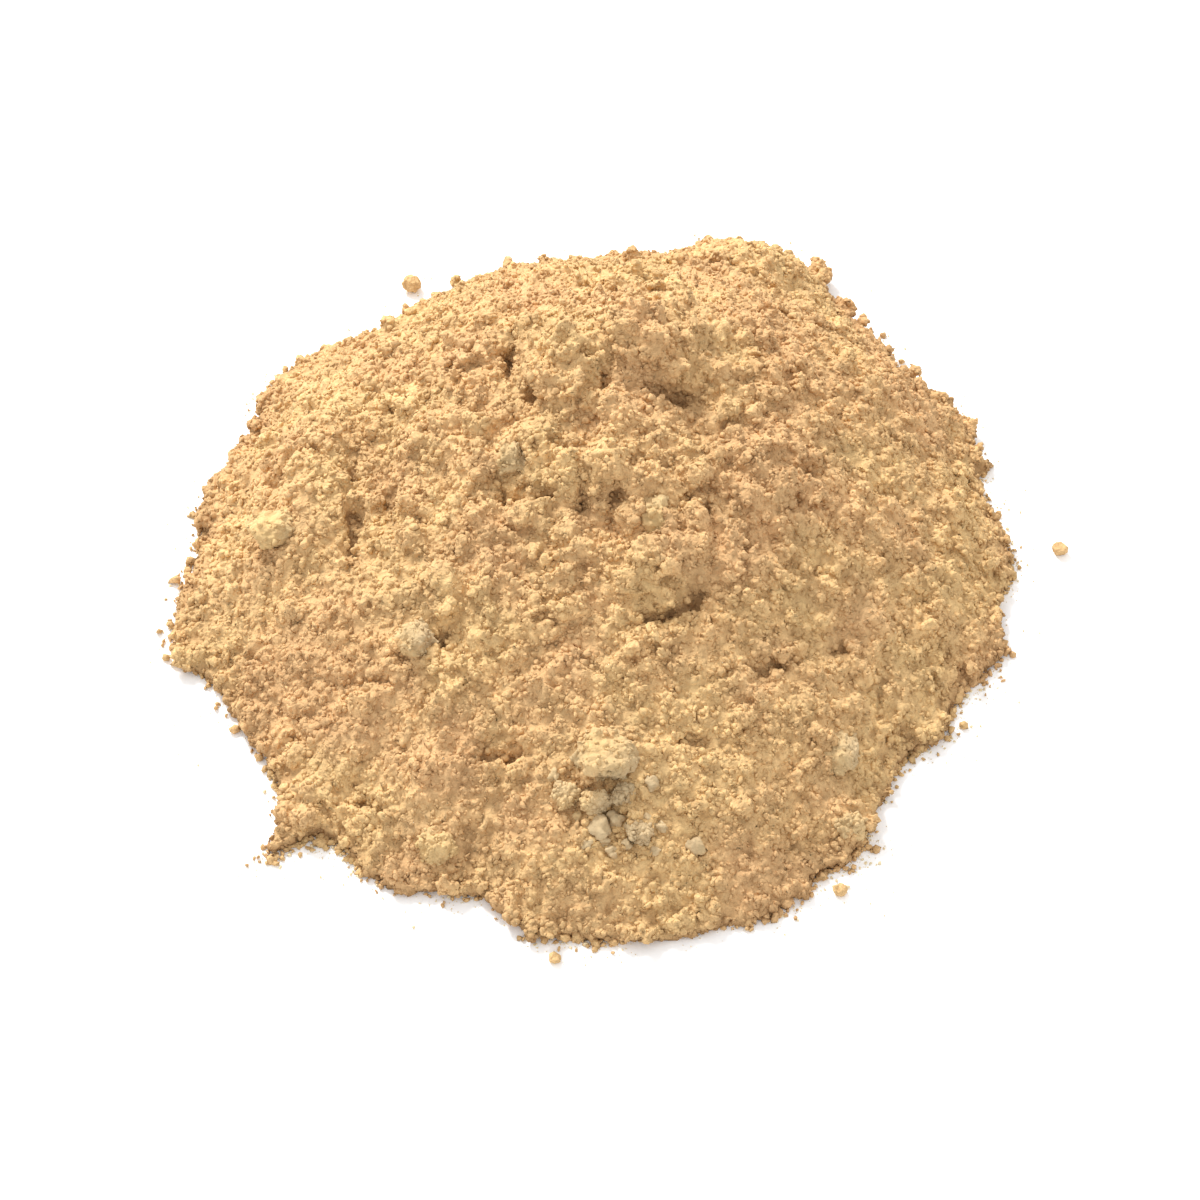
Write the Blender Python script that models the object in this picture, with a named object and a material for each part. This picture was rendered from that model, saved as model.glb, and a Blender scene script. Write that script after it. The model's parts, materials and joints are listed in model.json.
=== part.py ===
"""A heap of ground ginger root: a low mound of fine tan powder on a flat surface, with caked lumps lodged
in its slopes and a few crumbs that rolled clear of it.

Metres, +Z up. The origin is under the middle of the whole heap, on the surface it lies on, and +Y runs
towards its steep back. Each lump sits in a socket cut into the heap, so that every piece is its own solid.
"""

import math

import bmesh
import bpy
from mathutils import Euler, Vector, geometry, noise

MM = 0.001

# The mound. The powder was poured a little behind the middle and slid forward, so its back is steep.
HEAP_HEIGHT = 28 * MM
SUMMIT = Vector((4, 15)) * MM
RIM_THICKNESS = 0.8 * MM
SLOPE_CURVE = 1.55
SHOULDER_ROUNDING = 1.5
FACET_SIZE = 2.4 * MM

# The foot of the heap: direction in degrees from +X, and reach from the middle in millimetres.
FOOT = (
    (0, 55), (12, 53), (26, 56.5), (38, 54.5), (47, 56.5), (54, 59), (60, 62.5), (71, 63), (79, 58.5),
    (90, 55.5), (97, 54.5), (110, 54.5), (121, 51.5), (131, 50.5), (136, 54.5), (146, 54), (155, 51.5),
    (168, 54), (176, 52), (194, 56), (206, 52.5), (218, 52.5), (225.5, 54), (229.3, 62), (233, 55),
    (245, 58), (254, 54.5), (263, 59.3), (280, 60.2), (291, 60), (300, 57), (304, 57), (311, 53.5),
    (320, 50.5), (326, 52.5), (333, 51.5), (345, 55), (351, 53),
)
FOOT_RAGGEDNESS = 0.7 * MM
FOOT_RAG_LENGTH = 3.2 * MM

# Loose unevenness all over the slopes.
UNEVEN_HEIGHT = 0.8 * MM
UNEVEN_LENGTH = 9 * MM
UNEVEN_OCTAVES = 3

# Swells (+) and hollows (-) in the powder, in millimetres: x, y, half length, half width, the degrees that
# the length is turned from +X, and the rise.
RELIEF = (
    (6, 14, 6.5, 5.5, 0, 2.8),      # crown
    (10, 6, 4, 2.2, 10, -1.8),      # pocket under the crown
    (-4, 9, 7, 3.2, 75, 2.2),       # spur in front of the crown
    (-8.5, 5, 5, 2.2, 70, -1.8),    # hollow beside the spur
    (24, 48.5, 8, 6, -15, 7.5),     # knob on the back edge
    (-14, 33, 12, 8, 15, 2.2),      # back left shoulder
    (-2.4, -6.5, 3, 2.4, 90, 1.7),  # row of clods across the middle
    (1.6, -5, 3, 2.4, 90, 1.7),
    (6, -8, 3, 2.4, 90, 1.5),
    (-10.6, -6.8, 2.2, 2, 0, -2.4),
    (1, -12, 11, 2.4, 0, -1.5),
    (-15, -1, 2.8, 2.6, 0, 1.5),
    (-21, 1, 2.8, 2.4, 0, 1.4),
    (-37, 6, 14, 5.8, 75, 4.4),     # left shoulder and the gully beside it
    (-42, -5, 4, 3.4, 0, 2.0),
    (-28.5, 0, 12, 3.6, 95, -3.1),
    (-26, -16, 9, 3.2, 8, 1.6),
    (-18, -24, 2.4, 2.2, 0, -2.0),
    (7, -16.5, 3.6, 3.2, 90, 1.9),  # ledge and the cleft under it
    (12, -16, 3.6, 3, 90, 1.9),
    (9.5, -21.8, 6, 1.8, 20, -1.3),
    (21, -5, 3.4, 3, 0, 1.6),
    (25, 1, 3, 2.6, 0, 1.2),
    (14, -1, 6.5, 2.4, 95, -1.3),
    (38, 20, 10, 6, 110, 1.6),      # right slope
    (26, -24, 8, 1.8, 33, -1.2),
    (-22, -41, 4.6, 4, 0, 2.2),     # front slope
    (-28, -40, 4.5, 1.8, 120, -1.3),
    (-11.5, -38, 5.5, 2.2, 0, -1.5),
    (2, -41, 6, 4.5, 0, 1.6),
    (18, -45.5, 10, 2.4, 5, 1.9),
    (20.5, -53.5, 4, 3, 0, 1.4),
    (-4, -54, 7, 4, 0, 1.5),
)

# Caked lumps: name, x and y, half sizes across, back to front and up, the turn in degrees about +Z, and how
# far the middle stands above the powder. Millimetres.
LUMPS = (
    ("lump_front_slab", 1.4, -40.6, (4.3, 3.2, 2.5), 20, -0.5),
    ("lump_front_upper", 0.2, -45.2, (1.6, 1.4, 1.4), 0, 0.1),
    ("lump_front_lower", 5.6, -48.4, (1.6, 1.5, 1.5), 40, 0.3),
    ("lump_front_side", -3.2, -44.2, (1.5, 1.4, 1.3), 15, 0.1),
    ("lump_front_small", 3.7, -44.6, (1.3, 1.2, 1.2), 70, 0.2),
    ("lump_front_left", -19.3, -48.4, (2.2, 2.0, 1.8), 25, 0.3),
    ("lump_front_right", 31.2, -44.2, (2.2, 1.9, 1.8), -20, 0.3),
    ("lump_right_block", 30.2, -35, (2.3, 3.6, 2.1), -10, -0.3),
    ("lump_left_slope", -22, -24, (2.5, 2.2, 1.9), 35, -0.2),
    ("lump_middle_pale", -10.4, -2.6, (2.2, 2.2, 2.0), 0, 0.4),
    ("lump_middle_block", 7.6, -11.2, (2.5, 2.8, 2.0), 10, 0.0),
    ("lump_left_shoulder", -41.5, -4.6, (3.1, 2.8, 1.9), -15, -0.3),
)
LUMP_DENTS = 0.16
LUMP_SPLITS = 2
SOCKET_GAP = 0.35 * MM

# Crumbs on the surface beside the heap: name, x and y, and half sizes across, back to front and up.
CRUMBS = (
    ("crumb_back_left", -26, 51.8, (1.3, 1.4, 1.2)),
    ("crumb_back_left_small", -19.8, 52.7, (0.8, 0.8, 0.7)),
    ("crumb_back", -12.4, 56.2, (0.8, 1.1, 0.9)),
    ("crumb_right", 61.6, 2.3, (1.0, 0.9, 0.8)),
    ("crumb_front_right", 30, -52.4, (0.9, 0.8, 0.7)),
    ("crumb_front", -4.6, -62.3, (0.8, 0.7, 0.6)),
)
CRUMB_SPLITS = 2
CRUMB_BASE_CUT = 0.15

POWDER_COLOUR = (0.62, 0.40, 0.19, 1.0)
LUMP_COLOUR = (0.66, 0.47, 0.26, 1.0)
CRUMB_COLOUR = (0.60, 0.40, 0.20, 1.0)


def reach_of_foot(direction):
    """How far the foot lies from the middle in a direction in radians, eased between its points."""
    turn = math.degrees(direction) % 360
    first_angle, first_reach = FOOT[0]
    for (start, near), (end, far) in zip(FOOT, FOOT[1:] + ((first_angle + 360, first_reach),)):
        if start <= turn <= end:
            share = (turn - start) / (end - start)
            eased = share * share * (3 - 2 * share)
            return (near + (far - near) * eased) * MM
    raise ValueError(f"no stretch of the foot covers {turn} degrees")


def ragged_foot(direction):
    """The foot's point in that direction, with small teeth."""
    outward = Vector((math.cos(direction), math.sin(direction)))
    smooth = outward * reach_of_foot(direction)
    tooth = noise.noise((smooth / FOOT_RAG_LENGTH).to_3d())
    return smooth + outward * tooth * FOOT_RAGGEDNESS


def relief(spot):
    """Height that the swells and hollows add at a spot."""
    total = 0.0
    for x, y, half_length, half_width, turn, rise in RELIEF:
        offset = spot / MM - Vector((x, y))
        angle = math.radians(turn)
        along = (offset.x * math.cos(angle) + offset.y * math.sin(angle)) / half_length
        across = (offset.y * math.cos(angle) - offset.x * math.sin(angle)) / half_width
        total += rise * math.exp(-along * along - across * across)
    return total * MM


def unevenness(spot):
    """Height of the loose unevenness, from broad swells down to clods."""
    return UNEVEN_HEIGHT * noise.fractal((spot / UNEVEN_LENGTH).to_3d(), 0.9, 2.0, UNEVEN_OCTAVES)


def surface_height(spot, share):
    """Height of the heap's top at a spot that lies this share of the way from the summit to the foot."""
    mound = HEAP_HEIGHT * (1 - share**SLOPE_CURVE)
    fade_at_foot = min(1.0, 4 * (1 - share))
    return RIM_THICKNESS + max(0.0, mound + fade_at_foot * (relief(spot) + unevenness(spot)))


def heap_points():
    """Points on rings from the foot up to the summit, about a facet apart, as (spot, share)."""
    mean_reach = sum(reach for _, reach in FOOT) / len(FOOT) * MM
    rings = round(mean_reach / (FACET_SIZE * math.sin(math.pi / 3)))
    for ring in range(rings, 0, -1):
        share = ring / rings
        count = round(2 * math.pi * mean_reach * share / FACET_SIZE)
        for step in range(count):
            direction = 2 * math.pi * (step + ring % 2 / 2) / count
            outward = Vector((math.cos(direction), math.sin(direction)))
            even_reach = outward * mean_reach
            reach = even_reach.lerp(ragged_foot(direction), share**SHOULDER_ROUNDING)
            yield SUMMIT * (1 - share) + reach * share, share
    yield SUMMIT.copy(), 0.0


def heap_mesh():
    """The heap as one closed solid: a triangulated top, a thin rim and a flat underside."""
    points = list(heap_points())
    rim_count = sum(share == 1.0 for _, share in points)
    rim_edges = [(i, (i + 1) % rim_count) for i in range(rim_count)]
    spots, _, faces, *_ = geometry.delaunay_2d_cdt([spot for spot, _ in points], rim_edges, [], 1, 1e-7)
    built = bmesh.new()
    top = [built.verts.new((*spot, surface_height(spot, share))) for spot, (_, share) in zip(spots, points)]
    foot = [built.verts.new((*spots[i], 0)) for i in range(rim_count)]
    for face in faces:
        built.faces.new([top[i] for i in face])
    for i, j in rim_edges:
        built.faces.new((top[j], top[i], foot[i], foot[j]))
    built.faces.new(list(reversed(foot)))
    bmesh.ops.recalc_face_normals(built, faces=built.faces)
    return finished_mesh("powder_heap", built)


def pebble(name, splits, half_sizes, turn, swell=0.0):
    """A dented round lump about its own middle; swell moves its whole skin outwards by a distance."""
    built = bmesh.new()
    bmesh.ops.create_icosphere(built, subdivisions=splits, radius=1)
    seed_place = Vector((len(name), sum(map(ord, name)) % 97, 0))
    spin = Euler((0, 0, math.radians(turn)))
    for vert in built.verts:
        outward = vert.co.normalized()
        dent = 1 + LUMP_DENTS * noise.fractal(outward * 1.3 + seed_place, 0.8, 2.0, 2)
        shaped = Vector(side * half for side, half in zip(outward * dent, half_sizes)) * MM
        vert.co = shaped + shaped.normalized() * swell
        vert.co.rotate(spin)
    return built


def finished_mesh(name, built):
    mesh = bpy.data.meshes.new(name)
    built.to_mesh(mesh)
    built.free()
    return mesh


def placed(name, mesh, location, surface=None):
    """A named object in the scene."""
    made = bpy.data.objects.new(name, mesh)
    made.location = location
    if surface:
        mesh.materials.append(surface)
    bpy.context.scene.collection.objects.link(made)
    return made


def cut_socket(heap, name, cutter):
    """Cut a lump's socket into the heap."""
    cutter.hide_render = True
    cutter.display_type = "WIRE"
    cut = heap.modifiers.new(name, "BOOLEAN")
    cut.operation = "DIFFERENCE"
    cut.solver = "EXACT"
    cut.object = cutter


def lodge_lumps(heap, surface):
    """Each lump in its own socket in the powder."""
    for name, x, y, half_sizes, turn, stand in LUMPS:
        above = Vector((x, y, 2 * HEAP_HEIGHT / MM)) * MM
        found, on_powder, _, _ = heap.ray_cast(above, Vector((0, 0, -1)))
        if not found:
            raise ValueError(f"{name} lies off the heap")
        middle = on_powder + Vector((0, 0, stand * MM))
        lump = finished_mesh(name, pebble(name, LUMP_SPLITS, half_sizes, turn))
        placed(name, lump, middle, surface)
        socket = finished_mesh(f"{name}_socket", pebble(name, LUMP_SPLITS, half_sizes, turn, SOCKET_GAP))
        cut_socket(heap, name, placed(f"{name}_socket", socket, middle))


def scatter_crumbs(surface):
    """The crumbs beside the heap, each flattened where it rests."""
    for name, x, y, half_sizes in CRUMBS:
        built = pebble(name, CRUMB_SPLITS, half_sizes, 0)
        lowest = min(vert.co.z for vert in built.verts)
        base = lowest * (1 - CRUMB_BASE_CUT)
        bmesh.ops.bisect_plane(
            built, geom=built.verts[:] + built.edges[:] + built.faces[:], plane_co=(0, 0, base),
            plane_no=(0, 0, 1), clear_inner=True,
        )
        bmesh.ops.holes_fill(built, edges=built.edges)
        placed(name, finished_mesh(name, built), Vector((x * MM, y * MM, -base)), surface)


def centre_on_origin():
    """Move everything sideways so that the middle of the whole heap's box is over the origin."""
    bpy.context.view_layer.update()
    pieces = [piece for piece in bpy.context.scene.objects if not piece.hide_render]
    corners = [piece.matrix_world @ Vector(corner) for piece in pieces for corner in piece.bound_box]
    for side in range(2):
        along = [corner[side] for corner in corners]
        middle = (min(along) + max(along)) / 2
        for placed_object in bpy.context.scene.objects:
            placed_object.location[side] -= middle


def material(name, colour):
    made = bpy.data.materials.new(name)
    made.use_nodes = True
    shader = made.node_tree.nodes["Principled BSDF"]
    shader.inputs["Base Color"].default_value = colour
    shader.inputs["Roughness"].default_value = 1.0
    shader.inputs["Metallic"].default_value = 0.0
    return made


def main():
    for old in list(bpy.data.objects):
        bpy.data.objects.remove(old, do_unlink=True)
    heap = placed("powder_heap", heap_mesh(), Vector(), material("ground_ginger", POWDER_COLOUR))
    bpy.context.view_layer.update()
    lodge_lumps(heap, material("caked_ginger", LUMP_COLOUR))
    scatter_crumbs(material("loose_crumbs", CRUMB_COLOUR))
    centre_on_origin()


main()
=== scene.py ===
"""The look of a heap of ground ginger root: crumbly powder, caked lumps, stray crumbs and dust at its foot.

Laid out as a Blender add-on and run as a script. Everything is in metres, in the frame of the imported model:
+Z up, the heap resting on z = 0, its steep back towards +Y. Places on the heap are given in millimetres from
the middle of its box.
"""

import functools
import json
import math

import bmesh
import bpy
import numpy as np
from bpy.props import FloatProperty, FloatVectorProperty, IntProperty, PointerProperty
from mathutils import Euler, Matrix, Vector, noise
from mathutils.bvhtree import BVHTree

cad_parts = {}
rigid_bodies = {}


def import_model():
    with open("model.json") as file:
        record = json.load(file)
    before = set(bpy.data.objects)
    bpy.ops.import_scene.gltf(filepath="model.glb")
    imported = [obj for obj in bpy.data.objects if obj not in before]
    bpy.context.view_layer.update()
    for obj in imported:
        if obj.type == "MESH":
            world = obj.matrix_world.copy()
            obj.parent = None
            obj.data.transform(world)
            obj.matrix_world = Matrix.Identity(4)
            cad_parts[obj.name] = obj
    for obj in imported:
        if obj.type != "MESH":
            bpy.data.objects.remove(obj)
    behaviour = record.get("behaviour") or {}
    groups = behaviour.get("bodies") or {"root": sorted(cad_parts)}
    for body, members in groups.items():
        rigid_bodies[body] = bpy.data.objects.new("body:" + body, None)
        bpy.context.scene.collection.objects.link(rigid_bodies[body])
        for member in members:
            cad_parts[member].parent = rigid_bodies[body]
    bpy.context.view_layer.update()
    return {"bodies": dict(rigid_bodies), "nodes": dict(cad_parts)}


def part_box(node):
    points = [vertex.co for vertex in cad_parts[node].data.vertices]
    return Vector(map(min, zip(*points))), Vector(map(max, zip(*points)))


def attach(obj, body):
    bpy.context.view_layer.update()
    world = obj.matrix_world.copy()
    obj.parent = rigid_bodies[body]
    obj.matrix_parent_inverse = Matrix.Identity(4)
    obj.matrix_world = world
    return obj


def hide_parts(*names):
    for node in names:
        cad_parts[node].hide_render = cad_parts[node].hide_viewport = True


bl_info = {
    "name": "Heap of ground ginger",
    "version": (1, 0, 0),
    "blender": (4, 5, 0),
    "location": "3D View > Sidebar > Ginger",
    "description": "Builds the powder, lumps, crumbs, dust and stage of a heap of ground ginger root",
    "category": "Object",
}

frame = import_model()
HEAP_NODE = "powder_heap"
HEAP_LOW, HEAP_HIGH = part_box(HEAP_NODE)
HEAP_MIDDLE = Vector(((HEAP_LOW.x + HEAP_HIGH.x) / 2, (HEAP_LOW.y + HEAP_HIGH.y) / 2))
LUMP_NODES = sorted(name for name in frame["nodes"] if name.startswith("lump_"))
CRUMB_NODES = sorted(name for name in frame["nodes"] if name.startswith("crumb_"))
BODY = next(iter(frame["bodies"]))

MM = 0.001
GRID_SPACING = 0.5 * MM
GRID_MARGIN = 3 * MM

# Clods, ledges, pits and cracks finer than the model's own relief, in millimetres from the heap's middle:
# x, y, half length, half width, the degrees that the length is turned from +X, and the rise.
FINE_RELIEF = (
    (6, 14, 5.0, 4.3, 0, 1.7),        # crown
    (10.5, 7, 2.4, 1.3, 15, -2.8),    # pocket under the crown
    (7.5, 5.5, 1.7, 1.1, 0, -1.8),
    (-5, 12, 2.7, 2.3, 0, 2.4),       # spur and its hollow side
    (-3.5, 7, 2.0, 3.0, 0, 1.6),
    (-7.8, 6.5, 3.8, 1.1, 68, -2.8),
    (0.8, 8, 2.6, 0.9, 120, -1.9),
    (-11, 14, 5.0, 0.8, 88, -2.6),    # crack across the back slope
    (-2, 21, 2.8, 0.8, 80, -1.6),
    (-10.5, -7.1, 1.5, 1.3, 0, -2.8),  # gaps in the middle row of clods
    (-6.2, -8, 1.7, 0.9, 20, -2.4),
    (-1.6, -9.4, 2.3, 0.7, 80, -2.6),
    (2.8, -9.0, 2.3, 0.7, 100, -2.6),
    (-3.8, -6.6, 2.3, 1.7, 90, 1.9),
    (0.6, -6.4, 2.3, 1.7, 90, 1.9),
    (5.2, -7.6, 2.3, 1.8, 90, 1.9),
    (12, -7.8, 2.0, 0.9, 30, -1.8),
    (-18.5, -3.2, 1.8, 0.8, 90, -1.7),
    (-15, -4, 1.6, 0.8, 90, -1.6),
    (-31, -4, 9.5, 1.0, 93, -1.9),    # drop beside the left shoulder
    (-26, -3, 5.0, 1.3, 100, -1.4),
    (8.5, -22.6, 3.6, 0.8, 24, -2.5),  # cleft under the ledge
    (12.6, -20.6, 1.6, 1.0, 40, -2.3),
    (6.3, -18.2, 2.1, 2.3, 0, 1.5),
    (11.6, -17.4, 2.0, 2.6, 0, 1.5),
    (-18.6, -23.6, 1.5, 1.2, 0, -2.1),  # pit on the left slope
    (-28, -27.5, 3.6, 0.8, -12, -1.4),
    (-6, -27, 5.0, 0.8, 32, -1.4),
    (26, -1.6, 2.4, 0.9, 25, -1.8),   # clefts on the right slope
    (38, 1, 1.6, 1.0, 0, -1.6),
    (22, -27, 5.0, 0.8, 25, -1.4),
    (31, -22, 3.2, 0.8, 35, -1.3),
    (13, -37.4, 4.0, 0.9, -6, -1.4),  # troughs on the front slope
    (-11.5, -38, 3.4, 1.0, 5, -1.5),
    (-28.5, -40.5, 3.6, 0.8, 118, -1.5),
    (23, -48, 6.0, 0.9, 18, -1.2),
    (1.5, -56.5, 1.2, 0.7, 80, -0.8),
    (-8.6, -41, 1.0, 2.0, 0, -0.8),
    (17, 4, 5.0, 6.0, 0, -0.8),       # shaded side of the crown
)

# Small caked crumbs that have slid from the broad lump at the front: x, y and half size, in millimetres.
FALLEN_CRUMBS = (
    (0.5, -47.8, 1.35), (3.9, -49.6, 0.85), (2.1, -50.4, 0.8), (6.4, -46.9, 0.85), (-2.1, -46.4, 0.8),
    (2.5, -47.0, 0.9), (-0.9, -49.6, 0.75), (8.2, -47.8, 0.8), (12.3, -49.8, 1.0), (1.4, -49.3, 0.7),
    (4.9, -46.9, 0.7), (-4.9, -42.0, 0.9), (6.9, -43.4, 0.9), (7.6, -50.6, 0.75), (-1.4, -43.9, 0.8),
)


# ---------------------------------------------------------------- settings


class PowderSettings(bpy.types.PropertyGroup):
    """Sizes and colours of the powder."""

    skin_size: FloatProperty(
        name="Skin size", description="Edge of the cells that the powder's skin is made from",
        default=0.30 * MM, min=0.2 * MM, unit="LENGTH", precision=5,
    )
    skin_triangles: IntProperty(
        name="Skin triangles", description="Most triangles that the powder's skin keeps", default=190000,
    )
    clod_count: IntProperty(
        name="Clods", description="Clods that the powder has clumped into", default=5200,
    )
    clod_smallest: FloatProperty(
        name="Smallest clod", description="Half size of the smallest clods",
        default=0.7 * MM, unit="LENGTH", precision=5,
    )
    clod_largest: FloatProperty(
        name="Largest clod", description="Half size of the largest clods",
        default=2.7 * MM, unit="LENGTH", precision=5,
    )
    granule_layers: IntProperty(
        name="Granule layers", description="Layers of granules over the skin, one piece each", default=4,
    )
    granule_count: IntProperty(
        name="Granules", description="Granules in one layer", default=9500,
    )
    granule_smallest: FloatProperty(
        name="Smallest granule", description="Half size of the smallest granules",
        default=0.24 * MM, unit="LENGTH", precision=5,
    )
    granule_largest: FloatProperty(
        name="Largest granule", description="Half size of the largest granules",
        default=0.62 * MM, unit="LENGTH", precision=5,
    )
    colour: FloatVectorProperty(
        name="Powder", description="Colour of the powder", subtype="COLOR", size=3,
        default=(0.655, 0.410, 0.200), min=0, max=1,
    )
    warm_colour: FloatVectorProperty(
        name="Yellow patches", description="Colour of the yellower patches", subtype="COLOR", size=3,
        default=(0.710, 0.480, 0.225), min=0, max=1,
    )
    # Colour painted as shade deep in the pits between the clods and in the gaps between the grains.
    painted_shade_colour: FloatVectorProperty(
        name="Pits", description="Colour deep between the clods", subtype="COLOR", size=3,
        default=(0.39, 0.228, 0.104), min=0, max=1,
    )


class LumpSettings(bpy.types.PropertyGroup):
    """Sizes and colours of the caked lumps and stray crumbs."""

    facets: IntProperty(name="Facets", description="Broken faces round each caked lump", default=9)
    roughness: FloatProperty(
        name="Roughness", description="Height of the fine unevenness on a lump, as a share of its size",
        default=0.07, subtype="FACTOR",
    )
    clinging_grains: IntProperty(
        name="Clinging grains", description="Grains that cling to the caked lumps", default=1400,
    )
    colour: FloatVectorProperty(
        name="Caked powder", description="Colour of the caked lumps", subtype="COLOR", size=3,
        default=(0.615, 0.425, 0.198), min=0, max=1,
    )
    grey_colour: FloatVectorProperty(
        name="Grey patches", description="Colour of the greyer patches on the lumps", subtype="COLOR", size=3,
        default=(0.520, 0.390, 0.225), min=0, max=1,
    )
    # The stray crumbs' own colour, which is also painted as shade in the gaps between the caked lumps'
    # grains.
    crumb_and_gap_shade_colour: FloatVectorProperty(
        name="Stray crumbs", description="Colour of the crumbs beside the heap", subtype="COLOR", size=3,
        default=(0.60, 0.385, 0.19), min=0, max=1,
    )


class DustSettings(bpy.types.PropertyGroup):
    """Amount and size of the dust round the foot."""

    count: IntProperty(name="Specks", description="Specks of dust round the foot", default=2400)
    edge_count: IntProperty(name="Edge grains", description="Grains fallen just off the foot", default=1300)
    reach: FloatProperty(
        name="Reach", description="How far the dust lies from the foot",
        default=4.5 * MM, unit="LENGTH", precision=5,
    )
    size: FloatProperty(
        name="Speck size", description="Half size of a common speck",
        default=0.10 * MM, unit="LENGTH", precision=5,
    )
    colour: FloatVectorProperty(
        name="Dust", description="Colour of the dust", subtype="COLOR", size=3,
        default=(0.80, 0.66, 0.42), min=0, max=1,
    )


class StageSettings(bpy.types.PropertyGroup):
    """Floor, light and camera."""

    floor_colour: FloatVectorProperty(
        name="Floor", description="Colour of the floor", subtype="COLOR", size=3,
        default=(1.0, 1.0, 1.0), min=0, max=1,
    )
    fill: FloatProperty(name="Fill", description="Strength of the even white light all round", default=1.10)
    key: FloatProperty(name="Key", description="Power of the main lamp", default=6.1, subtype="POWER")
    camera_height: FloatProperty(
        name="Camera height", description="Angle of the camera above the floor",
        default=math.radians(50), subtype="ANGLE",
    )
    lens: FloatProperty(
        name="Lens", description="Focal length of the camera", default=100, subtype="DISTANCE_CAMERA",
    )
    view_width: FloatProperty(
        name="View width", description="Width of the view at the heap's middle",
        default=157 * MM, unit="LENGTH", precision=5,
    )


# ---------------------------------------------------------------- the smooth top of the heap


def blurred(values, cells):
    """A grid of values softened over that many cells."""
    reach = max(1, round(3 * cells))
    steps = np.arange(-reach, reach + 1)
    weights = np.exp(-0.5 * (steps / cells) ** 2)
    weights /= weights.sum()
    for axis in range(2):
        padding = [(reach, reach) if side == axis else (0, 0) for side in range(2)]
        padded = np.pad(values, padding, mode="edge")
        length = values.shape[axis]
        values = sum(
            weight * np.take(padded, range(start, start + length), axis=axis)
            for start, weight in enumerate(weights)
        )
    return values


class Slope:
    """The smooth top of the heap as heights on an even grid, with the lumps' sockets filled in."""

    def __init__(self):
        self.low = np.array(HEAP_LOW.xy) - GRID_MARGIN
        span = np.array(HEAP_HIGH.xy) + GRID_MARGIN - self.low
        self.shape = tuple(np.ceil(span / GRID_SPACING).astype(int) + 1)
        steps = [self.low[side] + GRID_SPACING * np.arange(self.shape[side]) for side in range(2)]
        self.x, self.y = np.meshgrid(*steps, indexing="ij")
        raw, self.inside = self.heights_of_model()
        sockets = self.near_lumps()
        self.height = self.filled(raw, self.inside & ~sockets)

    def heights_of_model(self):
        """The model's own heights, and where the heap lies at all."""
        model = frame["nodes"][HEAP_NODE].data
        corners = [vert.co for vert in model.vertices]
        tree = BVHTree.FromPolygons(corners, [face.vertices for face in model.polygons])
        above = 2 * HEAP_HIGH.z
        heights = np.zeros(self.shape)
        inside = np.zeros(self.shape, bool)
        for place in np.ndindex(*self.shape):
            hit = tree.ray_cast(Vector((self.x[place], self.y[place], above)), Vector((0, 0, -1)))[0]
            if hit:
                heights[place] = hit.z
                inside[place] = True
        return heights, inside

    def near_lumps(self):
        """Where a lump and its socket are."""
        near = np.zeros(self.shape, bool)
        for name in LUMP_NODES:
            low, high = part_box(name)
            middle = (low + high) / 2
            half = (high - low) / 2 + Vector((0.6, 0.6, 0)) * MM
            near |= ((self.x - middle.x) / half.x) ** 2 + ((self.y - middle.y) / half.y) ** 2 < 1
        return near

    def filled(self, heights, known):
        """Heights softened a little, and carried over the places that aren't known."""
        weight = known.astype(float)
        wide = blurred(heights * weight, 7) / np.maximum(blurred(weight, 7), 1e-6)
        patched = np.where(known, heights, wide)
        soft = blurred(patched * self.inside, 2.2) / np.maximum(blurred(self.inside.astype(float), 2.2), 1e-6)
        return np.where(self.inside, soft, wide)

    def add_fine_relief(self):
        self.relief = np.zeros(self.shape)
        for x, y, half_length, half_width, turn, rise in FINE_RELIEF:
            across_x = self.x / MM - HEAP_MIDDLE.x / MM - x
            across_y = self.y / MM - HEAP_MIDDLE.y / MM - y
            angle = math.radians(turn)
            along = (across_x * math.cos(angle) + across_y * math.sin(angle)) / half_length
            across = (across_y * math.cos(angle) - across_x * math.sin(angle)) / half_width
            self.relief += rise * MM * np.exp(-along * along - across * across)
        self.height += self.relief

    def at(self, grid, x, y):
        """Values of a grid at points between its corners."""
        spots = (np.stack([x, y], -1) - self.low) / GRID_SPACING
        spots = np.clip(spots, 0, np.array(self.shape) - 1.001)
        corner = spots.astype(int)
        share = spots - corner
        i, j = corner[..., 0], corner[..., 1]
        u, v = share[..., 0], share[..., 1]
        near = grid[i, j] * (1 - u) + grid[i + 1, j] * u
        far = grid[i, j + 1] * (1 - u) + grid[i + 1, j + 1] * u
        return near * (1 - v) + far * v


@functools.cache
def heap_slope():
    """The top of the heap with its fine relief, worked out once."""
    slope = Slope()
    slope.add_fine_relief()
    return slope


# ---------------------------------------------------------------- mesh helpers


def mesh_from(name, points, triangles):
    """A mesh from arrays of points and triangles."""
    mesh = bpy.data.meshes.new(name)
    mesh.vertices.add(len(points))
    mesh.vertices.foreach_set("co", np.asarray(points, np.float32).ravel())
    mesh.loops.add(3 * len(triangles))
    mesh.loops.foreach_set("vertex_index", np.asarray(triangles, np.int32).ravel())
    mesh.polygons.add(len(triangles))
    mesh.polygons.foreach_set("loop_start", 3 * np.arange(len(triangles), dtype=np.int32))
    mesh.update(calc_edges=True)
    mesh.validate()
    return mesh


def points_of(mesh):
    points = np.empty(3 * len(mesh.vertices), np.float32)
    mesh.vertices.foreach_get("co", points)
    return points.reshape(-1, 3)


def new_object(name, mesh):
    made = bpy.data.objects.new(name, mesh)
    bpy.context.scene.collection.objects.link(made)
    return made


def with_modifiers_applied(piece):
    """Replace a piece's mesh with what its modifiers make of it."""
    shaped = bpy.data.meshes.new_from_object(piece.evaluated_get(bpy.context.evaluated_depsgraph_get()))
    piece.modifiers.clear()
    old = piece.data
    piece.data = shaped
    bpy.data.meshes.remove(old)


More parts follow.
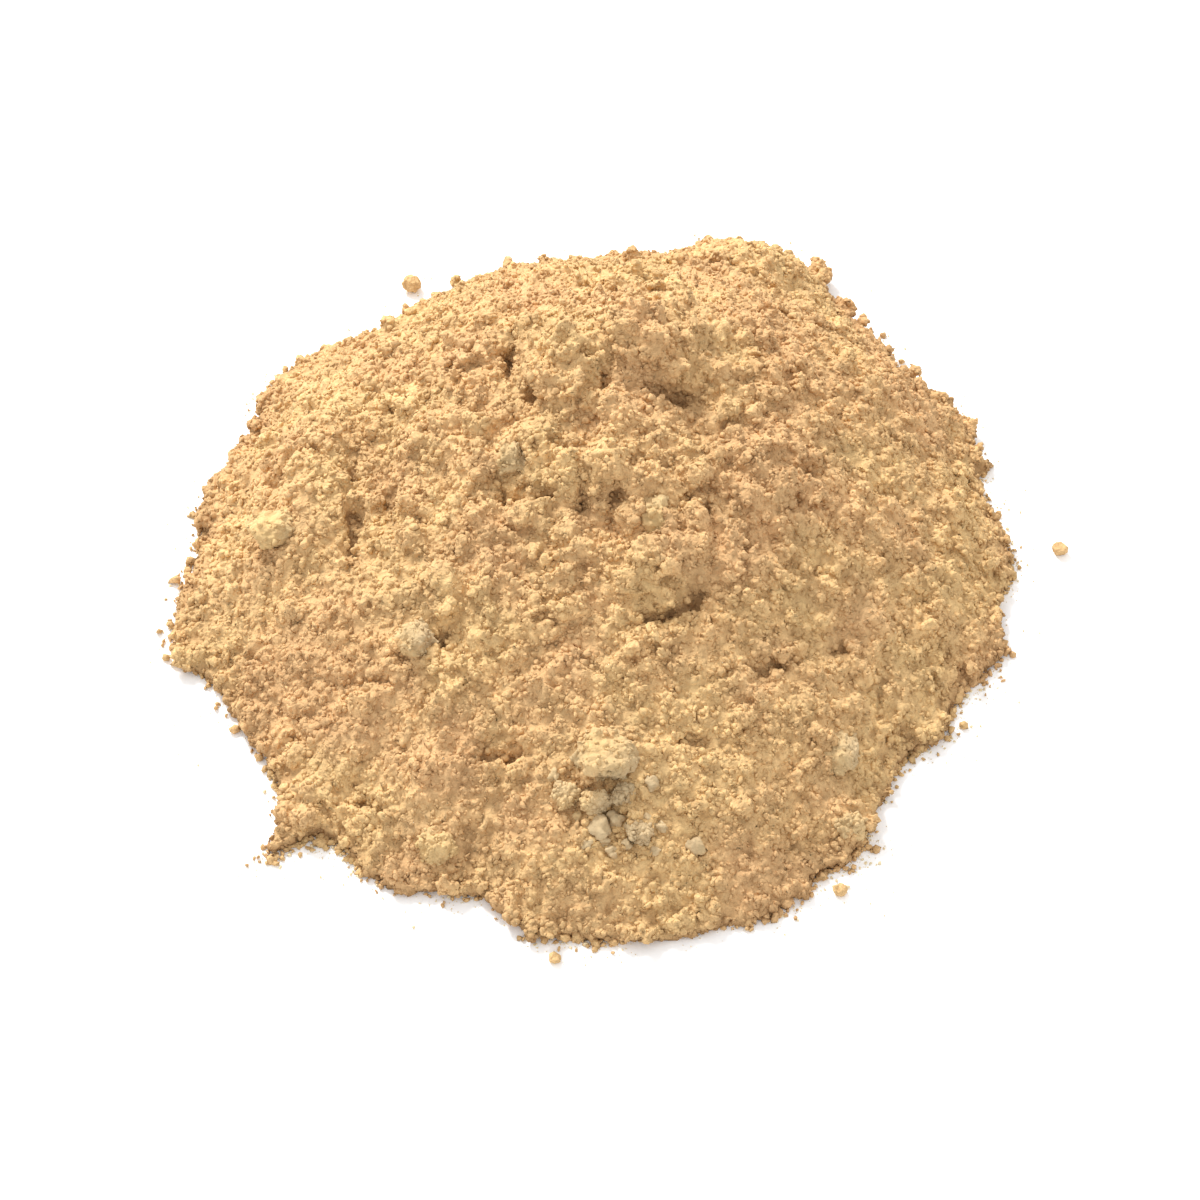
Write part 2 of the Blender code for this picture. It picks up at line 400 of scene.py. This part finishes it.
def finished(piece, slot_name, surface, *nodes):
    """Give a piece its material and its place in the frame, and hide the nodes that it stands for."""
    piece.data.materials.clear()
    piece.data.materials.append(surface)
    piece.data.shade_smooth()
    if nodes:
        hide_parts(*nodes)
    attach(piece, BODY)


def crumb_shapes(splits, kinds, seed):
    """A few irregular round shapes of half size 1 to copy crumbs from: (points of each, triangles)."""
    built = bmesh.new()
    bmesh.ops.create_icosphere(built, subdivisions=splits, radius=1)
    ball = np.array([vert.co for vert in built.verts])
    triangles = np.array([[vert.index for vert in face.verts] for face in built.faces])
    built.free()
    shapes = []
    for kind in range(kinds):
        shift = Vector((seed, 7.3 * kind, 0))
        swell = [1 + 0.42 * noise.fractal(Vector(point) * 1.1 + shift, 0.7, 2.0, 3) for point in ball]
        shapes.append(ball * np.array(swell)[:, None])
    return shapes, triangles


def warped(points, reach, length, seed):
    """Points pushed about by a flowing pattern, which takes the roundness off crumbs and clods."""
    shift = Vector((seed, seed, 0))
    pushes = [noise.noise_vector(Vector(point) / length + shift) for point in points.tolist()]
    return points + reach * np.array(pushes)


def turned(count, dice):
    """Random rotations, as an array of 3 by 3 matrices."""
    angles = dice.uniform(0, 2 * math.pi, (count, 3))
    return np.array([Euler(angle).to_matrix() for angle in angles])


def crumb_cloud(name, middles, half_sizes, splits, dice, warp=0.0, warp_length=1.0):
    """One mesh of many irregular crumbs."""
    shapes, triangles = crumb_shapes(splits, 14, float(dice.integers(100)))
    kinds = dice.integers(len(shapes), size=len(middles))
    stretch = dice.uniform(0.6, 1.25, (len(middles), 3))
    turns = turned(len(middles), dice)
    shaped = np.stack(shapes)[kinds] * stretch[:, None, :] * np.asarray(half_sizes)[:, None, None]
    points = np.einsum("nij,nkj->nki", turns, shaped) + np.asarray(middles)[:, None, :]
    offsets = points.shape[1] * np.arange(len(middles))
    faces = triangles[None] + offsets[:, None, None]
    points = points.reshape(-1, 3)
    if warp:
        points = warped(points, warp, warp_length, 2.0)
    points[:, 2] = np.maximum(points[:, 2], 0)
    return mesh_from(name, points, faces.reshape(-1, 3))


def scattered(slope, count, dice, keep):
    """Random places on the heap; keep gives the chance that each one stays."""
    places = []
    while len(places) < count:
        spots = dice.uniform(np.array(HEAP_LOW.xy), np.array(HEAP_HIGH.xy), (4 * count, 2))
        x, y = spots.T
        chance = slope.at(slope.inside.astype(float), x, y) * keep(x, y)
        places.extend(spots[dice.random(len(spots)) < chance])
    return np.array(places[:count])


def power_sizes(count, smallest, largest, steepness, dice):
    """Sizes of broken matter: many small, few large."""
    power = 1 - steepness
    low, high = smallest**power, largest**power
    return (low + (high - low) * dice.random(count)) ** (1 / power)


def patchiness(x, y, size, seed):
    """A soft pattern from 0 to 1 over the heap, with patches of that size."""
    return np.array([
        0.5 + 0.5 * noise.noise(Vector((east / size, north / size, seed)))
        for east, north in zip(np.ravel(x), np.ravel(y))
    ])


# ---------------------------------------------------------------- the powder


def base_solid(slope):
    """The smooth heap as a closed mesh that the clods are merged into."""
    inside = slope.inside
    number = -np.ones(slope.shape, int)
    cells = inside[:-1, :-1] & inside[1:, :-1] & inside[1:, 1:] & inside[:-1, 1:]
    used = np.zeros(slope.shape, bool)
    for i, j in ((0, 0), (1, 0), (1, 1), (0, 1)):
        used[i:slope.shape[0] - 1 + i, j:slope.shape[1] - 1 + j] |= cells
    number[used] = np.arange(used.sum())
    flat = np.stack([slope.x[used], slope.y[used]], -1)
    top = np.column_stack([flat, np.maximum(slope.height[used], 0.25 * MM)])
    bottom = np.column_stack([flat, np.zeros(len(flat))])
    corners = [number[i:slope.shape[0] - 1 + i, j:slope.shape[1] - 1 + j][cells]
               for i, j in ((0, 0), (1, 0), (1, 1), (0, 1))]
    a, b, c, d = corners
    upper = np.concatenate([np.stack([a, b, c], -1), np.stack([a, c, d], -1)])
    lower = upper[:, ::-1] + len(flat)
    sides = np.concatenate([upper[:, [0, 1]], upper[:, [1, 2]], upper[:, [2, 0]]])
    code = sides[:, 0] * len(flat) + sides[:, 1]
    opposite = sides[:, 1] * len(flat) + sides[:, 0]
    rim = sides[~np.isin(code, opposite)]
    p, q = rim.T
    walls = np.concatenate([
        np.stack([q, p, p + len(flat)], -1), np.stack([q, p + len(flat), q + len(flat)], -1),
    ])
    return np.concatenate([top, bottom]), np.concatenate([upper, lower, walls])


def clods(slope, sizes, dice):
    """Middles and sizes of the clods, bedded in the slope by about half and largest round the crown."""
    def keep(x, y):
        open_cleft = np.clip(1.6 + slope.at(slope.relief, x, y) / (0.8 * MM), 0.04, 1)
        return (0.35 + 0.65 * patchiness(x, y, 7 * MM, 3.1)) * open_cleft

    spots = scattered(slope, len(sizes), dice, keep)
    east, north = (spots - np.array(HEAP_MIDDLE)).T / MM
    cloddy = np.exp(-((east - 4) / 24) ** 2 - ((north - 1) / 22) ** 2)
    sizes = sizes * (0.55 + 0.65 * cloddy)
    ground = slope.at(slope.height, *spots.T)
    sunk = dice.uniform(-0.7, 0.15, len(sizes)) * sizes
    heights = np.maximum(ground + sunk, 0.45 * sizes)
    return np.column_stack([spots, heights]), sizes


def powder_skin(slope, settings):
    """The heap and its clods merged into one crumbly skin."""
    dice = np.random.default_rng(41)
    sizes = power_sizes(settings.clod_count, settings.clod_smallest, settings.clod_largest, 2.4, dice)
    middles, sizes = clods(slope, sizes, dice)
    lumpy = crumb_cloud("clods", middles, sizes, 3, dice, 0.8 * MM, 2.6 * MM)
    points, triangles = base_solid(slope)
    clod_points = points_of(lumpy)
    clod_triangles = np.empty(3 * len(lumpy.polygons), np.int32)
    lumpy.polygons.foreach_get("vertices", clod_triangles)
    merged = mesh_from(
        "powder", np.concatenate([points, clod_points]),
        np.concatenate([triangles, clod_triangles.reshape(-1, 3) + len(points)]),
    )
    bpy.data.meshes.remove(lumpy)
    piece = new_object("powder", merged)
    remesh = piece.modifiers.new("skin", "REMESH")
    remesh.mode = "VOXEL"
    remesh.voxel_size = settings.skin_size
    with_modifiers_applied(piece)
    settle_on_floor(piece.data, settings.skin_size)
    triangles_now = 2 * len(piece.data.polygons)
    thin = piece.modifiers.new("thin", "DECIMATE")
    thin.ratio = min(1.0, settings.skin_triangles / triangles_now)
    thin.use_collapse_triangulate = True
    with_modifiers_applied(piece)
    return piece


def settle_on_floor(mesh, skin_size):
    """Flatten the underside to z = 0."""
    points = points_of(mesh)
    points[points[:, 2] < 0.4 * skin_size, 2] = 0
    mesh.vertices.foreach_set("co", points.ravel())
    mesh.update()


def grain(mesh, *sizes_and_heights):
    """Cover a mesh's skin with packed grains by moving it along its normals; the underside stays flat."""
    points = points_of(mesh)
    normals = np.empty(3 * len(points), np.float32)
    mesh.vertices.foreach_get("normal", normals)
    moves = np.zeros(len(points))
    for size, height in sizes_and_heights:
        flowed = warped(points, 0.35 * size, 1.6 * size, 9.0) / size
        nearest = [noise.voronoi(Vector(point))[0][0] for point in flowed.tolist()]
        moves += height * (0.5 - np.array(nearest))
    above = np.clip(points[:, 2] / (0.3 * MM), 0, 1)
    points += normals.reshape(-1, 3) * (moves * above)[:, None]
    points[:, 2] = np.maximum(points[:, 2], 0)
    mesh.vertices.foreach_set("co", points.ravel().astype(np.float32))
    mesh.update()


def mark(mesh, name, values):
    """Store one value from 0 to 1 for each point, or for each of the crumbs that a mesh is made of."""
    each = len(mesh.vertices) // len(values)
    layer = mesh.attributes.new(name, "FLOAT", "POINT")
    layer.data.foreach_set("value", np.repeat(values, each).astype(np.float32))


def mark_depth(mesh, slope):
    """Store how far each point stands above or below the softened slope, from 0 deep to 1 proud; the powder's
    material paints shade on the deep points.
    """
    points = points_of(mesh)
    soft = blurred(slope.height, 3.0)
    rise = points[:, 2] - slope.at(soft, points[:, 0], points[:, 1])
    mark(mesh, "depth", np.clip(0.5 + rise / (2.4 * MM), 0, 1))


def map_from_above(mesh):
    """A bake map that looks straight down on the heap, with the underside small in one corner."""
    layer = mesh.uv_layers.new(name="OFBake")
    points = points_of(mesh)
    corners = np.empty(len(mesh.loops), np.int32)
    mesh.loops.foreach_get("vertex_index", corners)
    low, high = points[:, :2].min(0), points[:, :2].max(0)
    spots = (points[corners, :2] - low) / (high - low).max() * 0.998 + 0.001
    normals = np.empty(3 * len(mesh.polygons), np.float32)
    mesh.polygons.foreach_get("normal", normals)
    starts = np.empty(len(mesh.polygons), np.int32)
    totals = np.empty(len(mesh.polygons), np.int32)
    mesh.polygons.foreach_get("loop_start", starts)
    mesh.polygons.foreach_get("loop_total", totals)
    faces_down = np.repeat(normals.reshape(-1, 3)[:, 2] < -0.95, totals)
    on_floor = points[corners, 2] < 0.02 * MM
    hidden = faces_down & on_floor
    spots[hidden] = spots[hidden] * 0.05
    layer.data.foreach_set("uv", spots.astype(np.float32).ravel())


# ---------------------------------------------------------------- materials


class Shader:
    """Builds one Principled material from plain steps."""

    def __init__(self, name):
        self.material = bpy.data.materials.new(name)
        self.material.use_nodes = True
        self.tree = self.material.node_tree
        self.principled = self.tree.nodes["Principled BSDF"]
        coordinates = self.tree.nodes.new("ShaderNodeTexCoord")
        in_mm = self.tree.nodes.new("ShaderNodeMapping")
        in_mm.inputs["Scale"].default_value = (1 / MM, 1 / MM, 1 / MM)
        self.join(coordinates.outputs["Object"], in_mm.inputs["Vector"])
        self.place = in_mm.outputs["Vector"]

    def join(self, source, target):
        self.tree.links.new(source, target)

    def set(self, **values):
        for name, value in values.items():
            self.principled.inputs[name.replace("_", " ")].default_value = value

    def speckle(self, size_mm, detail=2.0, roughness=0.5):
        """Noise with patches of that size."""
        node = self.tree.nodes.new("ShaderNodeTexNoise")
        node.inputs["Scale"].default_value = 1 / size_mm
        node.inputs["Detail"].default_value = detail
        node.inputs["Roughness"].default_value = roughness
        self.join(self.place, node.inputs["Vector"])
        return node.outputs["Fac"]

    def packed_grains(self, size_mm):
        """Distance from the middle of the nearest grain, for uneven grains packed side by side."""
        flow = self.tree.nodes.new("ShaderNodeTexNoise")
        flow.inputs["Scale"].default_value = 1.3 / size_mm
        self.join(self.place, flow.inputs["Vector"])
        shift = self.tree.nodes.new("ShaderNodeVectorMath")
        shift.operation = "MULTIPLY_ADD"
        shift.inputs[1].default_value = (1.1 * size_mm,) * 3
        self.join(flow.outputs["Color"], shift.inputs[0])
        self.join(self.place, shift.inputs[2])
        cells = self.tree.nodes.new("ShaderNodeTexVoronoi")
        cells.inputs["Scale"].default_value = 1 / size_mm
        self.join(shift.outputs["Vector"], cells.inputs["Vector"])
        return cells.outputs["Distance"]

    def spread(self, source, low, high, to_low=0.0, to_high=1.0):
        """Stretch a value's range."""
        node = self.tree.nodes.new("ShaderNodeMapRange")
        node.inputs["From Min"].default_value = low
        node.inputs["From Max"].default_value = high
        node.inputs["To Min"].default_value = to_low
        node.inputs["To Max"].default_value = to_high
        self.join(source, node.inputs["Value"])
        return node.outputs["Result"]

    def blend(self, share, first, second, how="MIX"):
        """Mix two colours; each is a colour or a node's output."""
        node = self.tree.nodes.new("ShaderNodeMix")
        node.data_type = "RGBA"
        node.blend_type = how
        for socket, value in ((node.inputs[0], share), (node.inputs[6], first), (node.inputs[7], second)):
            if isinstance(value, bpy.types.NodeSocket):
                self.join(value, socket)
            elif isinstance(value, float):
                socket.default_value = value
            else:
                socket.default_value = (*value, 1.0)
        return node.outputs[2]

    def attribute(self, name):
        node = self.tree.nodes.new("ShaderNodeAttribute")
        node.attribute_name = name
        return node.outputs["Fac"]

    def bump(self, source, height, strength, below=None):
        node = self.tree.nodes.new("ShaderNodeBump")
        node.inputs["Distance"].default_value = height
        node.inputs["Strength"].default_value = strength
        self.join(source, node.inputs["Height"])
        if below:
            self.join(below, node.inputs["Normal"])
        return node.outputs["Normal"]


def powder_surface(name, colour, warm_colour, painted_shade_colour, gaps=0.5, has_depth=False):
    """Dry powder: dull, speckled and yellower in patches, with shade painted in its pits and in the gaps
    between its grains.
    """
    shader = Shader(name)
    shader.set(Roughness=1.0, Specular_IOR_Level=0.15)
    patches = shader.spread(shader.speckle(14, 2.0), 0.38, 0.62)
    tint = shader.blend(patches, colour, warm_colour)
    clod_tone = shader.spread(shader.speckle(5.0, 2.0), 0.3, 0.7, 0.86, 1.12)
    tint = shader.blend(1.0, tint, clod_tone, "MULTIPLY")
    grain_tone = shader.spread(shader.speckle(0.34, 1.0), 0.28, 0.72, 0.92, 1.07)
    tint = shader.blend(1.0, tint, grain_tone, "MULTIPLY")
    big_grains = shader.packed_grains(1.15)
    small_grains = shader.packed_grains(0.55)
    # Shade painted in the gaps between packed grains, blending towards the painted shade colour.
    big_gap_shade = shader.spread(big_grains, 0.40, 0.85, 0.0, 0.34 * gaps)
    tint = shader.blend(big_gap_shade, tint, painted_shade_colour)
    small_gap_shade = shader.spread(small_grains, 0.40, 0.85, 0.0, 0.24 * gaps)
    tint = shader.blend(small_gap_shade, tint, painted_shade_colour)
    if has_depth:
        granule_tone = shader.spread(shader.attribute("tone"), 0.0, 1.0, 0.95, 1.05)
        tint = shader.blend(1.0, tint, granule_tone, "MULTIPLY")
        # Shade painted on points that lie deep below the softened slope.
        painted_recess_shade = shader.spread(shader.attribute("depth"), 0.06, 0.46, 0.85, 0.0)
        tint = shader.blend(painted_recess_shade, tint, painted_shade_colour)
    shader.join(tint, shader.principled.inputs["Base Color"])
    coarse = shader.bump(big_grains, -0.34 * MM * gaps, 1.0)
    medium = shader.bump(small_grains, -0.13 * MM * gaps, 1.0, coarse)
    fine = shader.bump(shader.speckle(0.25, 2.0, 0.6), 0.08 * MM, 0.6, medium)
    shader.join(fine, shader.principled.inputs["Normal"])
    return shader.material


# ---------------------------------------------------------------- operators


@functools.cache
def powder_material():
    """The powder's material, made once and shared."""
    powder = bpy.context.scene.ginger_powder
    colours = powder.colour, powder.warm_colour, powder.painted_shade_colour
    return powder_surface("dry_powder", *colours, gaps=1.0, has_depth=True)


class GINGER_OT_powder(bpy.types.Operator):
    """Build the crumbly heap of powder"""

    bl_idname = "ginger.powder"
    bl_label = "Powder"

    def execute(self, context):
        powder = context.scene.ginger_powder
        slope = heap_slope()
        piece = powder_skin(slope, powder)
        grain(piece.data, (2.3 * MM, 0.7 * MM), (1.15 * MM, 0.95 * MM))
        mark_depth(piece.data, slope)
        mark(piece.data, "tone", np.array([0.5]))
        map_from_above(piece.data)
        finished(piece, "ground_ginger", powder_material(), HEAP_NODE)
        return {"FINISHED"}


class GINGER_OT_granules(bpy.types.Operator):
    """Cover the powder's skin with granules"""

    bl_idname = "ginger.granules"
    bl_label = "Granules"

    def execute(self, context):
        powder = context.scene.ginger_powder
        skin = bpy.data.objects["powder"].data
        slope = heap_slope()
        dice = np.random.default_rng(77)
        for layer in range(powder.granule_layers):
            spots, normals = places_on_skin(skin, powder.granule_count, dice)
            sizes = power_sizes(
                powder.granule_count, powder.granule_smallest, powder.granule_largest, 3.2, dice,
            )
            middles = spots + normals * (sizes * dice.uniform(-0.45, 0.15, len(sizes)))[:, None]
            middles[:, 2] = np.maximum(middles[:, 2], 0.8 * sizes)
            name = f"granules_{layer + 1}"
            piece = new_object(name, crumb_cloud(name, middles, sizes, 1, dice, 0.24 * MM, 0.6 * MM))
            mark_depth(piece.data, slope)
            mark(piece.data, "tone", dice.random(len(sizes)))
            map_from_above(piece.data)
            finished(piece, "ground_ginger", powder_material())
        return {"FINISHED"}


def places_on_skin(skin, count, dice):
    """Random points spread evenly over the skin, with the skin's direction there; none on the underside."""
    points = points_of(skin).astype(float)
    triangles = np.empty(3 * len(skin.polygons), np.int32)
    skin.polygons.foreach_get("vertices", triangles)
    corners = points[triangles.reshape(-1, 3)]
    across = np.cross(corners[:, 1] - corners[:, 0], corners[:, 2] - corners[:, 0])
    area = np.linalg.norm(across, axis=1)
    normals = across / np.maximum(area, 1e-15)[:, None]
    open_air = (normals[:, 2] > -0.5) & (corners[:, :, 2].max(1) > 0.2 * MM)
    chance = np.where(open_air, area, 0)
    picked = dice.choice(len(area), count, p=chance / chance.sum())
    u, v = dice.random((2, count))
    beyond = u + v > 1
    u, v = np.where(beyond, 1 - u, u), np.where(beyond, 1 - v, v)
    a, b, c = corners[picked].transpose(1, 0, 2)
    return a + (b - a) * u[:, None] + (c - a) * v[:, None], normals[picked]


class GINGER_OT_lumps(bpy.types.Operator):
    """Build the caked lumps lodged in the slopes"""

    bl_idname = "ginger.lumps"
    bl_label = "Caked lumps"

    def execute(self, context):
        lumps = context.scene.ginger_lumps
        # The gaps between the lumps' grains are painted with shade in the stray crumbs' colour.
        surface = powder_surface(
            "caked_powder", lumps.colour, lumps.grey_colour, lumps.crumb_and_gap_shade_colour,
        )
        skins = []
        for name in LUMP_NODES:
            piece = new_object(f"{name}_caked", broken_lump(name, lumps))
            grain(piece.data, (1.9 * MM, 0.7 * MM), (0.9 * MM, 0.4 * MM))
            finished(piece, "caked_ginger", surface, name)
            skins.append(piece.data)
        finished(fallen_crumbs(), "caked_ginger", surface)
        finished(clinging_grains(skins, lumps.clinging_grains), "caked_ginger", surface)
        return {"FINISHED"}


def fallen_crumbs():
    """The small crumbs below the broad lump at the front, half bedded in the slope."""
    dice = np.random.default_rng(53)
    x, y, sizes = np.array(FALLEN_CRUMBS).T * MM
    x, y = x + HEAP_MIDDLE.x, y + HEAP_MIDDLE.y
    slope = heap_slope()
    middles = np.column_stack([x, y, slope.at(slope.height, x, y) + 0.35 * sizes])
    name = "fallen_crumbs"
    piece = new_object(name, crumb_cloud(name, middles, sizes, 3, dice, 0.3 * MM, 1.2 * MM))
    grain(piece.data, (0.8 * MM, 0.5 * MM))
    return piece


def clinging_grains(skins, count):
    """Grains that cling to the caked lumps, shared out evenly."""
    dice = np.random.default_rng(67)
    places = [places_on_skin(skin, count // len(skins), dice) for skin in skins]
    spots, normals = map(np.concatenate, zip(*places))
    sizes = power_sizes(len(spots), 0.2 * MM, 0.5 * MM, 3.0, dice)
    middles = spots + normals * (sizes * dice.uniform(-0.5, 0.2, len(sizes)))[:, None]
    name = "clinging_grains"
    return new_object(name, crumb_cloud(name, middles, sizes, 1, dice, 0.2 * MM, 0.6 * MM))


def broken_lump(node, lumps):
    """A caked lump with broken faces, filling the box of its node."""
    low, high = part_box(node)
    middle, half = (low + high) / 2, (high - low) / 2
    dice = np.random.default_rng(sum(map(ord, node)))
    normals = dice.normal(size=(lumps.facets, 3))
    normals /= np.linalg.norm(normals, axis=1)[:, None]
    reaches = dice.uniform(0.66, 0.92, lumps.facets)
    built = bmesh.new()
    bmesh.ops.create_icosphere(built, subdivisions=5, radius=1)
    shift = Vector((float(dice.uniform(0, 50)), 0, 0))
    for vert in built.verts:
        outward = vert.co.normalized()
        facing = normals @ np.array(outward)
        cut = min(1.0, min(reach / max(face, 0.05) for reach, face in zip(reaches, facing)))
        broad = 0.10 * noise.fractal(outward * 1.6 + shift, 0.8, 2.0, 2)
        fine = lumps.roughness * noise.fractal(outward * 6 + shift, 0.5, 2.0, 4)
        vert.co = outward * (cut * 1.08 + broad + fine)
    for vert in built.verts:
        vert.co = Vector(side * extent for side, extent in zip(vert.co, half)) + middle
    mesh = bpy.data.meshes.new(node)
    built.to_mesh(mesh)
    built.free()
    return mesh


class GINGER_OT_crumbs(bpy.types.Operator):
    """Build the stray crumbs that lie beside the heap"""

    bl_idname = "ginger.crumbs"
    bl_label = "Stray crumbs"

    def execute(self, context):
        lumps = context.scene.ginger_lumps
        powder = context.scene.ginger_powder
        # Shade is painted in the gaps between the crumbs' grains, in the powder's painted shade colour.
        surface = powder_surface(
            "stray_crumbs", lumps.crumb_and_gap_shade_colour, powder.warm_colour, powder.painted_shade_colour,
        )
        for name in CRUMB_NODES:
            piece = new_object(f"{name}_grainy", broken_lump(name, lumps))
            grain(piece.data, (0.9 * MM, 0.3 * MM))
            points = points_of(piece.data)
            points[:, 2] = np.maximum(points[:, 2], 0)
            piece.data.vertices.foreach_set("co", points.ravel())
            finished(piece, "loose_crumbs", surface, name)
        return {"FINISHED"}


class GINGER_OT_dust(bpy.types.Operator):
    """Scatter dust round the foot of the heap"""

    bl_idname = "ginger.dust"
    bl_label = "Dust"

    def execute(self, context):
        dust = context.scene.ginger_dust
        slope = heap_slope()
        dice = np.random.default_rng(19)
        away = distance_from_foot(slope)
        places = places_by_foot(slope, away, dust.count, 0.35 * dust.reach, dice)
        sizes = power_sizes(dust.count, 0.6 * dust.size, 4 * dust.size, 3.6, dice)
        middles = np.column_stack([places, 0.55 * sizes])
        piece = new_object("foot_dust", crumb_cloud("foot_dust", middles, sizes, 1, dice))
        surface = powder_surface("pale_dust", dust.colour, dust.colour, dust.colour)
        finished(piece, "loose_crumbs", surface)
        places = places_by_foot(slope, away, dust.edge_count, 0.5 * MM, dice)
        sizes = power_sizes(dust.edge_count, 0.22 * MM, 0.85 * MM, 3.2, dice)
        middles = np.column_stack([places, 0.6 * sizes])
        name = "foot_grains"
        piece = new_object(name, crumb_cloud(name, middles, sizes, 1, dice, 0.2 * MM, 0.6 * MM))
        mark(piece.data, "depth", np.array([1.0]))
        mark(piece.data, "tone", dice.random(len(sizes)))
        finished(piece, "ground_ginger", powder_material())
        return {"FINISHED"}


def places_by_foot(slope, away, count, reach, dice):
    """Random places outside the foot, thinning out over that reach and gathered in patches."""
    places = []
    while len(places) < count:
        x = dice.uniform(slope.low[0], slope.x.max(), 4000)
        y = dice.uniform(slope.low[1], slope.y.max(), 4000)
        gap = slope.at(away, x, y)
        chance = np.exp(-gap / reach) * (gap > 0)
        chance *= np.clip(3 * patchiness(x, y, 9 * MM, 8.8) - 1.1, 0.05, 1)
        places.extend(np.stack([x, y], -1)[dice.random(len(x)) < chance])
    return np.array(places[:count])


def distance_from_foot(slope):
    """How far each place of the grid lies outside the heap's foot, in metres, and 0 inside it."""
    distance = np.where(slope.inside, 0.0, 1.0)
    steps = [
        (i, j, GRID_SPACING * math.hypot(i, j))
        for i in (-1, 0, 1) for j in (-1, 0, 1) if (i, j) != (0, 0)
    ]
    for _ in range(round(2 * GRID_MARGIN / GRID_SPACING) + 20):
        padded = np.pad(distance, 1, constant_values=1.0)
        distance = np.minimum.reduce([distance] + [
            padded[1 + i:padded.shape[0] - 1 + i, 1 + j:padded.shape[1] - 1 + j] + step
            for i, j, step in steps
        ])
    return distance


class GINGER_OT_stage(bpy.types.Operator):
    """Set up the floor, the light and the camera"""

    bl_idname = "ginger.stage"
    bl_label = "Stage"

    def execute(self, context):
        stage = context.scene.ginger_stage
        self.lay_floor(stage)
        self.light(context, stage)
        self.aim_camera(context, stage)
        context.scene.view_settings.view_transform = "Standard"
        return {"FINISHED"}

    def lay_floor(self, stage):
        built = bmesh.new()
        bmesh.ops.create_grid(built, x_segments=1, y_segments=1, size=3)
        mesh = bpy.data.meshes.new("floor")
        built.to_mesh(mesh)
        built.free()
        floor = new_object("floor", mesh)
        floor.location.z = -0.02 * MM
        surface = bpy.data.materials.new("pale_floor")
        surface.use_nodes = True
        shader = surface.node_tree.nodes["Principled BSDF"]
        shader.inputs["Base Color"].default_value = (*stage.floor_colour, 1)
        shader.inputs["Roughness"].default_value = 0.8
        shader.inputs["Specular IOR Level"].default_value = 0.1
        mesh.materials.append(surface)

    def light(self, context, stage):
        world = bpy.data.worlds.new("even_white")
        world.use_nodes = True
        background = world.node_tree.nodes["Background"]
        background.inputs["Color"].default_value = (1, 1, 1, 1)
        background.inputs["Strength"].default_value = stage.fill
        context.scene.world = world
        lamp = bpy.data.lights.new("key", "AREA")
        lamp.shape = "DISK"
        lamp.size = 0.22
        lamp.energy = stage.key
        key = bpy.data.objects.new("key", lamp)
        context.scene.collection.objects.link(key)
        key.location = HEAP_MIDDLE.to_3d() + Vector((-0.26, 0.42, 0.50))
        key.rotation_euler = (HEAP_MIDDLE.to_3d() - key.location).to_track_quat("-Z", "Y").to_euler()

    def aim_camera(self, context, stage):
        lens = bpy.data.cameras.new("camera")
        lens.lens = stage.lens
        camera = bpy.data.objects.new("camera", lens)
        context.scene.collection.objects.link(camera)
        tilt = stage.camera_height
        away = stage.view_width * stage.lens / lens.sensor_width
        aim = HEAP_MIDDLE.to_3d() + Vector((0.7, -5.8, 0)) * MM
        camera.location = aim + Vector((0, -math.cos(tilt), math.sin(tilt))) * away
        camera.rotation_euler = (math.pi / 2 - tilt, 0, 0)
        lens.clip_start = 0.01
        context.scene.camera = camera


class GINGER_PT_panel(bpy.types.Panel):
    """Lists the steps that build the heap"""

    bl_label = "Heap of ground ginger"
    bl_idname = "GINGER_PT_panel"
    bl_space_type = "VIEW_3D"
    bl_region_type = "UI"
    bl_category = "Ginger"

    def draw(self, context):
        for group in SETTINGS:
            settings = getattr(context.scene, group)
            box = self.layout.box()
            for name in settings.bl_rna.properties.keys():
                if name not in ("rna_type", "name"):
                    box.prop(settings, name)
        for step in STEPS:
            self.layout.operator(step.bl_idname)


SETTINGS = {
    "ginger_powder": PowderSettings,
    "ginger_lumps": LumpSettings,
    "ginger_dust": DustSettings,
    "ginger_stage": StageSettings,
}
STEPS = (
    GINGER_OT_stage, GINGER_OT_powder, GINGER_OT_granules, GINGER_OT_lumps, GINGER_OT_crumbs, GINGER_OT_dust,
)
CLASSES = (*SETTINGS.values(), *STEPS, GINGER_PT_panel)


def register():
    for made in CLASSES:
        bpy.utils.register_class(made)
    for name, settings in SETTINGS.items():
        setattr(bpy.types.Scene, name, PointerProperty(type=settings))


def unregister():
    for name in SETTINGS:
        delattr(bpy.types.Scene, name)
    for made in reversed(CLASSES):
        bpy.utils.unregister_class(made)


def main():
    register()
    bpy.ops.ginger.stage()
    bpy.ops.ginger.powder()
    bpy.ops.ginger.granules()
    bpy.ops.ginger.lumps()
    bpy.ops.ginger.crumbs()
    bpy.ops.ginger.dust()


if __name__ == "__main__":
    main()
